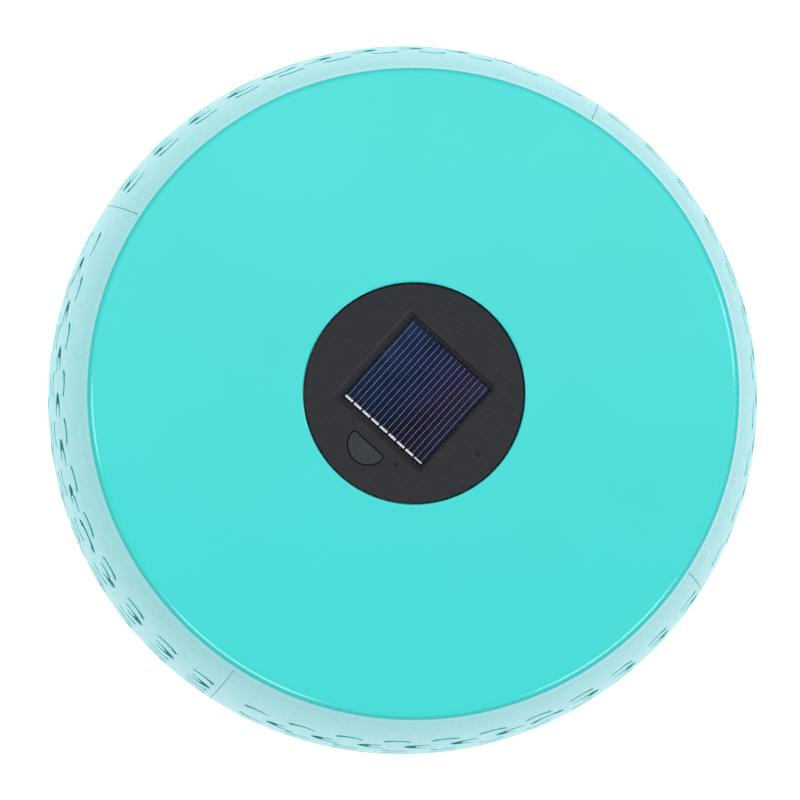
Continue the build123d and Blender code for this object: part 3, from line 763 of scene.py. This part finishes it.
def lift(mesh, outline, height, normals=None):
    """Add an outline of the lamp at a height."""
    return mesh.add([lamp_point(x, y, height) for x, y in outline], normals)


def rounded_square(side, radius, centre):
    """Outline of a square with rounded corners."""
    reach = side / 2 - radius
    outline = []
    for corner in range(4):
        start = corner * pi / 2
        x = centre[0] + reach * sqrt(2) * cos(start + pi / 4)
        y = centre[1] + reach * sqrt(2) * sin(start + pi / 4)
        outline += fillet((x, y), radius, start, start + pi / 2, 4)
    return outline


def half_round(grow):
    """Outline of the power button: an arc on a flat side, with rounded corners, grown by a distance."""
    half = BUTTON_LENGTH / 2
    sweep_r = (half**2 + BUTTON_DEPTH**2) / (2 * BUTTON_DEPTH)
    middle = BUTTON_FLAT - BUTTON_DEPTH + sweep_r
    reach = sweep_r - BUTTON_CORNER
    corner_x = BUTTON_FLAT - BUTTON_CORNER
    corner_y = sqrt(reach**2 - (corner_x - middle) ** 2)
    lean = atan2(corner_y, corner_x - middle)
    corner = BUTTON_CORNER + grow
    outline = arc((middle, 0), sweep_r + grow, lean, 2 * pi - lean, 24)
    outline += arc((corner_x, -corner_y), corner, -lean, 0, 5)
    outline += fillet((corner_x, -corner_y), corner, 0, 0, 1)[:1]
    outline += arc((corner_x, corner_y), corner, 0, lean, 5)
    return outline


def cover_wall(mesh, rim):
    """Rounded rim, outer wall, rebate and inner wall. Returns the ring under the plate."""
    inner_r = LAMP_R - COVER_WALL
    plate_r = LAMP_R - 2 * COVER_WALL
    rings = [rim]
    for grow, depth in edge_rings(COVER_EDGE, 4)[1:]:
        rings.append(lift(mesh, circle(LAMP_R - grow, LAMP_STEPS), LAMP_TOP - depth))
    for radius, height in ((LAMP_R, COVER_FOOT + FINE_EDGE), (LAMP_R - FINE_EDGE, COVER_FOOT),
                           (inner_r, COVER_FOOT), (inner_r, REBATE_TOP), (plate_r, REBATE_TOP)):
        rings.append(lift(mesh, circle(radius, LAMP_STEPS), height))
    rings.append(lift(mesh, circle(plate_r, LAMP_STEPS), PLATE_UNDER, DOWN))
    mesh.bridge_all(rings)
    return rings[-1]


def cover_recess(mesh, edge):
    """Bevelled recess with a rounded edge, and the pocket below it that holds the cell."""
    bends = [(i / RECESS_STEPS) ** 2 * RECESS_BEND for i in range(1, RECESS_STEPS + 1)]
    steps = [(bend, (1 - sqrt(bend / RECESS_BEND)) ** 2, bend) for bend in bends]
    steps += [(0.5, 0.0, 0.5), (0.94, 0.0, 0.94), (1.0, 0.0, 1.06)]
    rings = [edge]
    for share, grow, sink in steps:
        side = RECESS_SIDE + share * (POCKET_SIDE - RECESS_SIDE) + grow * 2 * RECESS_EDGE
        centre = [a + share * (b - a) for a, b in zip(RECESS_CENTRE, CELL_CENTRE)]
        corner = RECESS_CORNER + share * (POCKET_CORNER - RECESS_CORNER)
        rings.append(lift(mesh, rounded_square(side, corner, centre), LAMP_TOP - sink * RECESS_DEPTH))
    floor = rounded_square(POCKET_SIDE, POCKET_CORNER, CELL_CENTRE)
    rings.append(lift(mesh, floor, CELL_UNDER, UP))
    mesh.bridge_all(rings)
    mesh.faces += [tuple(rings[-1][v] for v in face) for face in triangles([floor])]


def cover_button_hole(mesh, edge):
    """Rounded edge and wall of the button hole. Returns the ring under the plate."""
    rings = [edge]
    for grow, depth in edge_rings(FINE_EDGE, 2)[1:]:
        rings.append(lift(mesh, half_round(BUTTON_GAP + grow), LAMP_TOP - depth))
    rings.append(lift(mesh, half_round(BUTTON_GAP), PLATE_UNDER, DOWN))
    mesh.bridge_all(rings)
    return rings[-1]


def cover_marks(mesh, edges):
    """A triangular mark and a dimple, sunk in the top."""
    marks = [circle(MARK_R - FINE_EDGE, 3, MARK_SPOT)]
    marks.append(circle(DIMPLE_R - FINE_EDGE, DIMPLE_SIDES, DIMPLE_SPOT))
    for edge, outline in zip(edges, marks):
        floor = lift(mesh, outline, LAMP_TOP - MARK_DEPTH)
        mesh.bridge(edge, floor)
        mesh.faces.append(tuple(floor))


def cover_tray(mesh, plate_edge, hole_edge):
    """Underside of the plate, and the tray below it that holds the cell."""
    tray = rounded_square(TRAY_SIDE, RECESS_CORNER, CELL_CENTRE)
    loops = [circle(LAMP_R - 2 * COVER_WALL, LAMP_STEPS), tray, half_round(BUTTON_GAP)]
    tray_top = lift(mesh, tray, PLATE_UNDER, DOWN)
    flat = plate_edge + tray_top + hole_edge
    mesh.faces += [tuple(flat[v] for v in face) for face in triangles(loops)]
    tray_foot = lift(mesh, tray, CELL_UNDER - TRAY_FLOOR)
    mesh.bridge(tray_top, tray_foot)
    mesh.faces.append(tuple(tray_foot))


def make_cover():
    """Moulded cover: rounded rim, bevelled cell recess, button hole and two small marks."""
    mesh = Mesh()
    loops = [circle(LAMP_R - COVER_EDGE, LAMP_STEPS)]
    loops.append(rounded_square(RECESS_SIDE + 2 * RECESS_EDGE, RECESS_CORNER, RECESS_CENTRE))
    loops.append(half_round(BUTTON_GAP + FINE_EDGE))
    loops.append(circle(MARK_R + FINE_EDGE, 3, MARK_SPOT))
    loops.append(circle(DIMPLE_R + FINE_EDGE, DIMPLE_SIDES, DIMPLE_SPOT))
    top = [lift(mesh, loop, LAMP_TOP, UP) for loop in loops]
    flat = [v for ring in top for v in ring]
    mesh.faces += [tuple(flat[v] for v in face) for face in triangles(loops)]
    plate_edge = cover_wall(mesh, top[0])
    cover_recess(mesh, top[1])
    hole_edge = cover_button_hole(mesh, top[2])
    cover_marks(mesh, top[3:])
    cover_tray(mesh, plate_edge, hole_edge)
    mesh.build("moulded_cover", COVER, "lamp_unit", "charcoal_plastic", ["lamp_cover"])


def slab(name, outlines, heights, material, body, slot, nodes=()):
    """A closed piece from outlines of equal length at rising heights, flat at both ends."""
    mesh = Mesh()
    rings = []
    for number, (outline, height) in enumerate(zip(outlines, heights)):
        normal = {0: DOWN, len(heights) - 1: UP}.get(number)
        rings.append(lift(mesh, outline, height, normal))
    mesh.bridge_all(rings)
    for ring, outline in ((rings[0], outlines[0]), (rings[-1], outlines[-1])):
        mesh.faces += [tuple(ring[v] for v in face) for face in triangles([outline])]
    return mesh.build(name, material, body, slot, nodes)


def make_button():
    """Half-round button cap over its retaining flange. The raised power sign on it is made by
    make_power_sign.
    """
    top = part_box("power_button")[1].z
    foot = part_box("power_button")[0].z
    flange_top = PLATE_UNDER - BUTTON_PLAY
    under = flange_top - BUTTON_FLANGE
    flange = half_round(BUTTON_FLANGE)
    start = atan2(flange[0][1], flange[0][0] - BUTTON_STEM[0])
    stem = arc(BUTTON_STEM, BUTTON_STEM_R, start, start + 2 * pi, len(flange))
    outlines = [stem, stem, flange, flange]
    heights = [foot, under, under, flange_top]
    outlines += [half_round(0), half_round(0)]
    heights += [flange_top, top - BUTTON_EDGE]
    for inset, depth in reversed(edge_rings(BUTTON_EDGE, 4)[:-1]):
        outlines.append(half_round(-inset))
        heights.append(top - depth)
    slab("button_cap", outlines, heights, BUTTON, "button", "button_plastic", ["power_button"])


def ribbon(mesh, path, width, bottom, top, crown=0.7):
    """A low raised line along a path, narrower at its top."""
    sections = []
    for i, point in enumerate(path):
        before = Vector(path[max(i - 1, 0)])
        after = Vector(path[min(i + 1, len(path) - 1)])
        side = (after - before).orthogonal().normalized() * width / 2
        here = Vector(point)
        corners = [(here - side, bottom), (here + side, bottom)]
        corners += [(here + crown * side, top), (here - crown * side, top)]
        sections.append(mesh.add([lamp_point(p.x, p.y, z) for p, z in corners]))
    mesh.bridge_all(sections)
    mesh.faces += [tuple(sections[0]), tuple(sections[-1])]


def make_power_sign():
    """Generic power sign: an open ring and a bar."""
    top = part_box("power_button")[1].z
    mesh = Mesh()
    start = radians(SIGN_OPENING / 2)
    ring = fillet(SIGN_SPOT, SIGN_R, start, 2 * pi - start, 28)
    ribbon(mesh, ring, SIGN_WIDTH, top - SIGN_HEIGHT, top + SIGN_HEIGHT)
    bar = [(SIGN_SPOT[0] + 0.3 * SIGN_R, SIGN_SPOT[1]), (SIGN_SPOT[0] + 1.25 * SIGN_R, SIGN_SPOT[1])]
    ribbon(mesh, bar, SIGN_WIDTH, top - SIGN_HEIGHT, top + SIGN_HEIGHT)
    mesh.build("power_sign", SIGN, "button", "button_plastic")


def make_cell():
    """Solar cell with printed silver lines, soldered tabs along one side and a clear cover."""
    under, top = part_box("solar_cell")[0].z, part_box("solar_cell")[1].z
    outline = rounded_square(CELL_SIDE, POCKET_CORNER, CELL_CENTRE)
    inset = rounded_square(CELL_SIDE - 2 * FINE_EDGE, POCKET_CORNER, CELL_CENTRE)
    slab("silicon_cell", [outline, outline, inset], [under, top - FINE_EDGE, top], SILICON, "lamp_unit",
         "cell_blue", ["solar_cell"])

    lines = Mesh()
    left = CELL_CENTRE[0] - CELL_SIDE / 2
    for number in range(GRID_LINES):
        y = CELL_CENTRE[1] + (number - (GRID_LINES - 1) / 2) * GRID_PITCH
        path = [(left + TAB_MARGIN + TAB_SIZE[0] / 2, y), (left + CELL_SIDE - GRID_MARGIN, y)]
        ribbon(lines, path, GRID_WIDTH, top, top + GRID_HEIGHT)
    lines.build("cell_grid_lines", SILVER, "lamp_unit", "tinned_tab")

    tabs = Mesh()
    tab_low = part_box("cell_tabs")[0].z
    for number in range(TAB_COUNT):
        y = CELL_CENTRE[1] + (number - (TAB_COUNT - 1) / 2) * CELL_SIDE / TAB_COUNT
        x = left + TAB_MARGIN + TAB_SIZE[0] / 2
        path = [(x, y - TAB_SIZE[1] / 2 + inset) for inset in (0, 0.2 * MM)]
        path += [(x, y + TAB_SIZE[1] / 2 - inset) for inset in (0.2 * MM, 0)]
        width = TAB_SIZE[0] if number else LAST_TAB_WIDTH
        ribbon(tabs, path, width, tab_low, tab_low + TAB_HEIGHT, 0.8)
    tabs.build("soldered_tabs", TINNED, "lamp_unit", "tinned_tab", ["cell_tabs"])

    low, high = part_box("cell_window")[0].z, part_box("cell_window")[1].z
    slab("clear_window", [outline, outline, inset], [low, high - FINE_EDGE, high], CLEAR, "lamp_unit",
         "clear_cover", ["cell_window"])


make_panels()
make_seat()
make_cover()
make_button()
make_power_sign()
make_cell()


# CAD nodes that stay as they are


def dress(material, *names):
    """Give CAD nodes a material."""
    for name in names:
        slots = NODES[name].material_slots
        for slot in slots:
            slot.material = material


def numbered(name):
    return [f"{name}_{number + 1}" for number in range(PANELS)]


dress(ENAMEL, "top_hoop", "base_hoop", "lamp_socket", *numbered("seat_rib"), *numbered("seam_strip"))
dress(RUBBER, "lamp_gasket", "housing_seal", *numbered("foot"))
dress(CHARCOAL, "lamp_housing", "battery_door")
dress(BLACK, "switch_body", "switch_plunger", "charge_chip")
dress(ZINC, "housing_screws", "board_screws")
dress(NICKEL, "contact_positive", "contact_negative")
dress(TINNED, "cell_leads")
dress(BOARD, "circuit_board")
dress(PHOSPHOR, "led")
dress(FROSTED, "led_lens")
dress(SLEEVE, "battery")


# Floor, light and camera


def make_floor():
    """Pale floor with painted light: its colour is whitest round the stool and greys farther off, a painted
    pool of light, and a faint painted glow lightens the shadow.
    """
    mesh = bpy.data.meshes.new("floor")
    corners = [(x * FLOOR_REACH, y * FLOOR_REACH, 0) for x, y in ((-1, -1), (1, -1), (1, 1), (-1, 1))]
    mesh.from_pydata(corners, [], [(0, 1, 2, 3)])
    floor = bpy.data.objects.new("floor", mesh)
    bpy.context.scene.collection.objects.link(floor)
    surface = Surface("floor_white", FLOOR_POOL_NEAR, 0.7, specular=0.1)
    length = surface.node("ShaderNodeVectorMath")
    length.operation = "LENGTH"
    surface.link(surface.place, length.inputs[0])
    distance = length.outputs["Value"]
    # Painted pool of light: the colour fades from near white round the stool to grey farther off.
    surface.colours(surface.spread(distance, 0, 1, *FLOOR_POOL_FADE), FLOOR_POOL_NEAR, FLOOR_BEYOND_POOL)
    surface.set("Emission Color", (1, 1, 1, 1))
    # Painted light: a glow near the stool that lightens its shadow on the floor.
    glow = surface.spread(distance, FLOOR_GLOW, 0, *FLOOR_GLOW_FADE)
    surface.link(glow, surface.shader.inputs["Emission Strength"])
    mesh.materials.append(surface.material)


def make_world():
    """Soft studio light: dim and cool near the horizon, bright higher up, most of all on one side."""
    scene = bpy.context.scene
    scene.world = bpy.data.worlds.new("studio")
    scene.world.use_nodes = True
    tree = scene.world.node_tree
    background = tree.nodes["Background"]
    background.inputs["Strength"].default_value = 1.0
    place = tree.nodes.new("ShaderNodeTexCoord").outputs["Generated"]
    side = tree.nodes.new("ShaderNodeVectorMath")
    side.operation = "DOT_PRODUCT"
    side.inputs[1].default_value = BRIGHT_SIDE
    tree.links.new(place, side.inputs[0])
    split = tree.nodes.new("ShaderNodeSeparateXYZ")
    tree.links.new(place, split.inputs[0])

    def step(source, start, end, low, high):
        spread = tree.nodes.new("ShaderNodeMapRange")
        spread.interpolation_type = "SMOOTHSTEP"
        for name, value in (("From Min", start), ("From Max", end), ("To Min", low), ("To Max", high)):
            spread.inputs[name].default_value = value
        tree.links.new(source, spread.inputs["Value"])
        return spread.outputs["Result"]

    around = step(side.outputs["Value"], *SIDE_FADE, *SIDE_LIGHT)
    overhead = step(split.outputs["Y"], *OVERHEAD_FADE, *OVERHEAD_LIGHT)
    zenith = step(split.outputs["Z"], *ZENITH_FADE, 0, 1)
    upper = tree.nodes.new("ShaderNodeMath")
    upper.operation = "MULTIPLY_ADD"
    tree.links.new(overhead, upper.inputs[0])
    tree.links.new(zenith, upper.inputs[1])
    tree.links.new(around, upper.inputs[2])
    mix = tree.nodes.new("ShaderNodeMix")
    mix.data_type = "RGBA"
    tree.links.new(step(split.outputs["Z"], *HORIZON_FADE, 0, 1), mix.inputs["Factor"])
    mix.inputs["A"].default_value = (*LOW_LIGHT, 1)
    tree.links.new(upper.outputs[0], mix.inputs["B"])
    tree.links.new(mix.outputs["Result"], background.inputs["Color"])


def softbox(name, azimuth, elevation, spread, rise, radiance):
    """Rectangular light that faces the stool from a direction, its angular width and height in degrees."""
    turn, tilt = radians(azimuth), radians(elevation)
    direction = Vector((cos(turn) * cos(tilt), sin(turn) * cos(tilt), sin(tilt)))
    light = bpy.data.lights.new(name, "AREA")
    light.shape = "RECTANGLE"
    light.size = 2 * SOFTBOX_FAR * cos(tilt) * sin(radians(spread / 2))
    light.size_y = 2 * SOFTBOX_FAR * sin(radians(rise / 2))
    light.energy = radiance * pi * light.size * light.size_y
    box = bpy.data.objects.new(name, light)
    box.location = Vector((0, 0, SEAT_TOP)) + SOFTBOX_FAR * direction
    box.rotation_euler = direction.to_track_quat("Z", "Y").to_euler()
    box.visible_diffuse = False
    bpy.context.scene.collection.objects.link(box)


def make_camera():
    """Camera a little off the axis, high above the seat."""
    camera = bpy.data.cameras.new("camera")
    camera.lens = CAMERA_LENS
    camera.sensor_width = 36
    camera.clip_end = 20
    holder = bpy.data.objects.new("camera", camera)
    holder.location = CAMERA_SPOT
    back = (Vector(CAMERA_SPOT) - Vector(CAMERA_AIM)).normalized()
    right = Vector((0, 1, 0)).cross(back).normalized()
    turn = Matrix((right, back.cross(right), back)).transposed()
    holder.rotation_euler = turn.to_euler()
    bpy.context.scene.collection.objects.link(holder)
    bpy.context.scene.camera = holder


make_floor()
make_world()
make_camera()
for number, (azimuth, spread) in enumerate(SOFTBOXES):
    softbox(f"softbox_{number + 1}", azimuth, SOFTBOX_RISE, spread, SOFTBOX_HEIGHT, SOFTBOX_LIGHT)
bpy.context.scene.view_settings.view_transform = "Standard"
